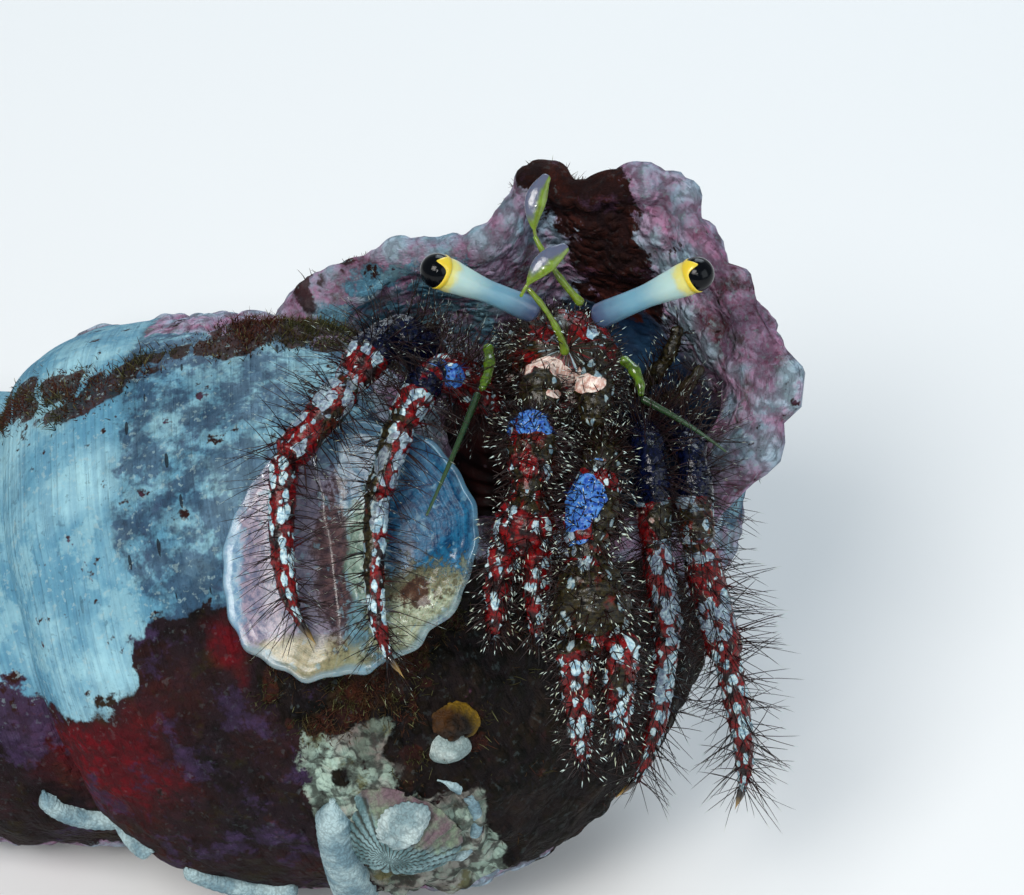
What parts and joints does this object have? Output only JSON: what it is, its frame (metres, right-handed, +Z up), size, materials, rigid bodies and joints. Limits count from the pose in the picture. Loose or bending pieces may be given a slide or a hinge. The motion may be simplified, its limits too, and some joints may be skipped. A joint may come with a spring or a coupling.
{
  "type": "hermit crab in a sea-snail shell",
  "caption": "Life-size still model of a hairy red hermit crab looking out of a big overgrown sea-snail shell, with its legs and claws hanging over the front of the shell.",
  "frame": {"origin": "on the floor, in the middle of the flat on which the shell's body whorl rests", "axes": "+Z up, -Y the way that the crab looks, +X towards the crab's left, which is the open end of the shell"},
  "size_m": [0.1247, 0.0701, 0.0813],
  "materials": {
    "shell_crust": "dull, rough crust of lime and red weed",
    "nacre": "satin, pearly",
    "small_shells": "dull lime",
    "red_armour": "glossy, with pale blue-white spots and stiff bristles",
    "blue_joint": "glossy dark blue with black dots",
    "eyestalk": "smooth, faintly glossy",
    "cornea": "wet, mirror-smooth",
    "feeler": "glossy green",
    "horn": "polished horn",
    "soft_belly": "soft, moist skin"
  },
  "bodies": {
    "root": {"antenna_left": "feeler", "antenna_right": "feeler", "antenna_stem_left": "feeler", "antenna_stem_right": "feeler", "antennule_left": "feeler", "antennule_right": "feeler", "antennule_whip_left": "feeler", "antennule_whip_right": "feeler", "belly_front": "soft_belly", "belly_rear": "soft_belly", "claw_arm_left": "red_armour", "claw_arm_right": "red_armour", "claw_finger_fixed_left": "red_armour", "claw_finger_fixed_right": "red_armour", "claw_finger_left": "red_armour", "claw_finger_right": "red_armour", "claw_palm_left": "red_armour", "claw_palm_right": "red_armour", "claw_wrist_left": "blue_joint", "claw_wrist_right": "blue_joint", "cup_valve": "nacre", "eye_left": "cornea", "eye_right": "cornea", "eye_scale_left": "eyestalk", "eye_scale_right": "eyestalk", "eyestalk_left": "eyestalk", "eyestalk_right": "eyestalk", "leg2_left_foot": "red_armour", "leg2_left_knee": "blue_joint", "leg2_left_shin": "red_armour", "leg2_left_thigh": "red_armour", "leg2_left_tip": "horn", "leg2_right_foot": "red_armour", "leg2_right_knee": "blue_joint", "leg2_right_shin": "red_armour", "leg2_right_thigh": "red_armour", "leg2_right_tip": "horn", "leg3_left_foot": "red_armour", "leg3_left_knee": "blue_joint", "leg3_left_shin": "red_armour", "leg3_left_thigh": "red_armour", "leg3_left_tip": "horn", "leg3_right_foot": "red_armour", "leg3_right_knee": "blue_joint", "leg3_right_shin": "red_armour", "leg3_right_thigh": "red_armour", "leg3_right_tip": "horn", "leg4_left": "red_armour", "leg4_right": "red_armour", "leg5_left": "red_armour", "leg5_right": "red_armour", "mouth_limb_left": "red_armour", "mouth_limb_right": "red_armour", "ribbed_limpet": "small_shells", "shell": "shell_crust", "shield": "red_armour", "small_cap": "small_shells", "tail_fan": "red_armour"}
  },
  "joints": []
}
